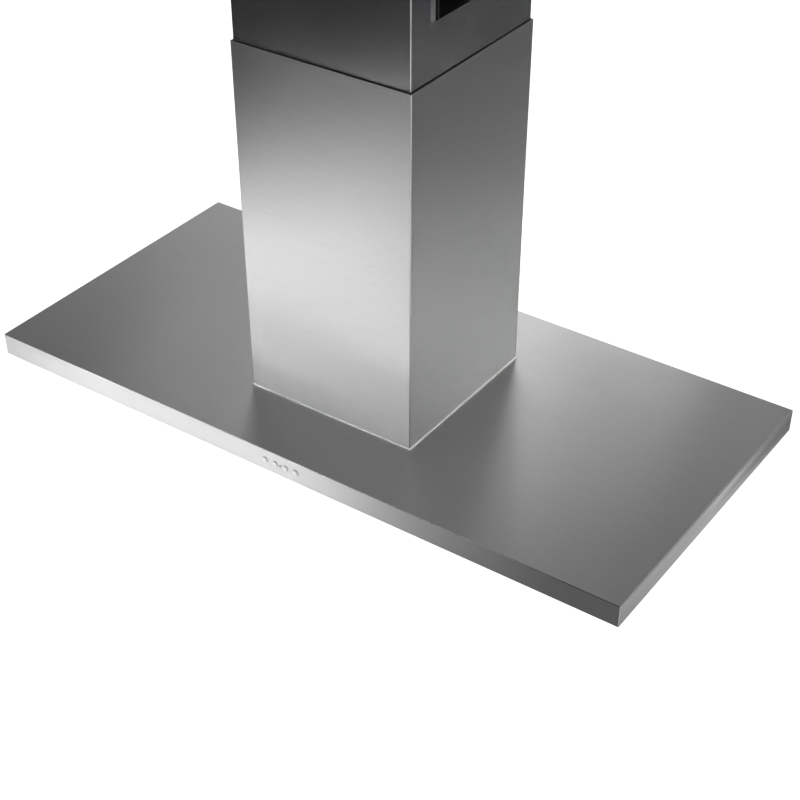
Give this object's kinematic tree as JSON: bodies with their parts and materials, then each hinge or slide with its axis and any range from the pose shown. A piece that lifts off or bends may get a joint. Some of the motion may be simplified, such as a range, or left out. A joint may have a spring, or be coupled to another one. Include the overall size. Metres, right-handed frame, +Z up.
{
  "type": "island range hood",
  "caption": "Island cooker hood: a thin rectangular steel canopy with push buttons, filters and lamps, hung on a square telescopic flue with an air outlet window near the ceiling.",
  "frame": {"origin": "centre of the ceiling plate's top face, with the whole hood hanging below it", "axes": "+X along the canopy's long side, to the right as seen from the button side; +Y away from the button side; +Z up, out of the ceiling face"},
  "size_m": [1.2, 0.5694, 0.82],
  "materials": {
    "brushed_stainless": "directional satin brush",
    "polished_trim": "bright turned",
    "galvanised_steel": "zinc coated sheet",
    "aluminium": "mill finish",
    "black_plastic": "fine texture",
    "grey_plastic": "fine texture",
    "white_plastic": "fine texture",
    "lamp_diffuser": "frosted",
    "charcoal_cartridge": "moulded"
  },
  "bodies": {
    "ceiling_frame": {"ceiling_plate": "galvanised_steel", "upper_flue": "brushed_stainless", "air_diverter": "black_plastic", "upper_duct": "aluminium", "upper_upright_front_left": "galvanised_steel", "upper_upright_front_right": "galvanised_steel", "upper_upright_back_left": "galvanised_steel", "upper_upright_back_right": "galvanised_steel"},
    "hood": {"blower_box": "galvanised_steel", "canopy_shell": "brushed_stainless", "charcoal_filter_left": "charcoal_cartridge", "charcoal_filter_right": "charcoal_cartridge", "control_box": "grey_plastic", "damper_pin": "polished_trim", "flue_base_collar": "brushed_stainless", "frame_base_ring": "galvanised_steel", "indicator_lens": "lamp_diffuser", "lamp_cup_back_left": "polished_trim", "lamp_cup_back_right": "polished_trim", "lamp_cup_front_left": "polished_trim", "lamp_cup_front_right": "polished_trim", "lamp_lens_back_left": "lamp_diffuser", "lamp_lens_back_right": "lamp_diffuser", "lamp_lens_front_left": "lamp_diffuser", "lamp_lens_front_right": "lamp_diffuser", "led_driver": "white_plastic", "lower_duct": "aluminium", "lower_upright_back_left": "galvanised_steel", "lower_upright_back_right": "galvanised_steel", "lower_upright_front_left": "galvanised_steel", "lower_upright_front_right": "galvanised_steel", "mains_inlet_gland": "black_plastic", "motor": "galvanised_steel", "motor_bracket": "galvanised_steel", "outlet_spigot": "black_plastic", "run_capacitor": "white_plastic", "scroll_half_left": "grey_plastic", "scroll_half_right": "grey_plastic", "switch_housing": "black_plastic", "underside_panel": "brushed_stainless"},
    "lower_flue": {"lower_flue": "brushed_stainless"},
    "fan": {"impeller": "grey_plastic", "motor_shaft": "polished_trim"},
    "damper_left": {"damper_flap_left": "black_plastic"},
    "damper_right": {"damper_flap_right": "black_plastic"},
    "filter_left": {"filter_frame_left": "aluminium", "filter_mesh_left": "aluminium"},
    "filter_middle": {"filter_frame_middle": "aluminium", "filter_mesh_middle": "aluminium"},
    "filter_right": {"filter_frame_right": "aluminium", "filter_mesh_right": "aluminium"},
    "latch_left": {"filter_latch_left": "grey_plastic"},
    "latch_middle": {"filter_latch_middle": "grey_plastic"},
    "latch_right": {"filter_latch_right": "grey_plastic"},
    "button_1": {"button_1": "polished_trim"},
    "button_2": {"button_2": "polished_trim"},
    "button_3": {"button_3": "polished_trim"},
    "button_4": {"button_4": "polished_trim"}
  },
  "joints": [
    {"name": "height_adjust", "type": "slide", "parent": "ceiling_frame", "child": "hood", "axis": [0, 0, -1], "range_m": [-0.02, 0.25]},
    {"name": "lower_flue_lift", "type": "slide", "parent": "hood", "child": "lower_flue", "axis": [0, 0, 1], "range_m": [0, 0.165]},
    {"name": "fan_spin", "type": "hinge", "parent": "hood", "child": "fan", "pos_m": [0, 0.034, -0.662], "axis": [1, 0, 0], "continuous": true},
    {"name": "damper_left_open", "type": "hinge", "parent": "hood", "child": "damper_left", "pos_m": [0, 0, -0.484], "axis": [0, 1, 0], "range_deg": [0, 68]},
    {"name": "damper_right_open", "type": "hinge", "parent": "hood", "child": "damper_right", "pos_m": [0, 0, -0.484], "axis": [0, -1, 0], "range_deg": [0, 68]},
    {"name": "filter_left_open", "type": "hinge", "parent": "hood", "child": "filter_left", "pos_m": [-0.31, 0.166, -0.8169], "axis": [1, 0, 0], "range_deg": [0, 80]},
    {"name": "filter_middle_open", "type": "hinge", "parent": "hood", "child": "filter_middle", "pos_m": [0, 0.166, -0.8169], "axis": [1, 0, 0], "range_deg": [0, 80]},
    {"name": "filter_right_open", "type": "hinge", "parent": "hood", "child": "filter_right", "pos_m": [0.31, 0.166, -0.8169], "axis": [1, 0, 0], "range_deg": [0, 80]},
    {"name": "latch_left_pull", "type": "slide", "parent": "filter_left", "child": "latch_left", "axis": [0, 1, 0], "range_m": [0, 0.006], "stiffness_N_per_m": 600, "springref_m": -0.004},
    {"name": "latch_middle_pull", "type": "slide", "parent": "filter_middle", "child": "latch_middle", "axis": [0, 1, 0], "range_m": [0, 0.006], "stiffness_N_per_m": 600, "springref_m": -0.004},
    {"name": "latch_right_pull", "type": "slide", "parent": "filter_right", "child": "latch_right", "axis": [0, 1, 0], "range_m": [0, 0.006], "stiffness_N_per_m": 600, "springref_m": -0.004},
    {"name": "button_1_press", "type": "slide", "parent": "hood", "child": "button_1", "axis": [0, 1, 0], "range_m": [0, 0.0012], "stiffness_N_per_m": 1500, "springref_m": -0.001},
    {"name": "button_2_press", "type": "slide", "parent": "hood", "child": "button_2", "axis": [0, 1, 0], "range_m": [0, 0.0012], "stiffness_N_per_m": 1500, "springref_m": -0.001},
    {"name": "button_3_press", "type": "slide", "parent": "hood", "child": "button_3", "axis": [0, 1, 0], "range_m": [0, 0.0012], "stiffness_N_per_m": 1500, "springref_m": -0.001},
    {"name": "button_4_press", "type": "slide", "parent": "hood", "child": "button_4", "axis": [0, 1, 0], "range_m": [0, 0.0012], "stiffness_N_per_m": 1500, "springref_m": -0.001}
  ]
}
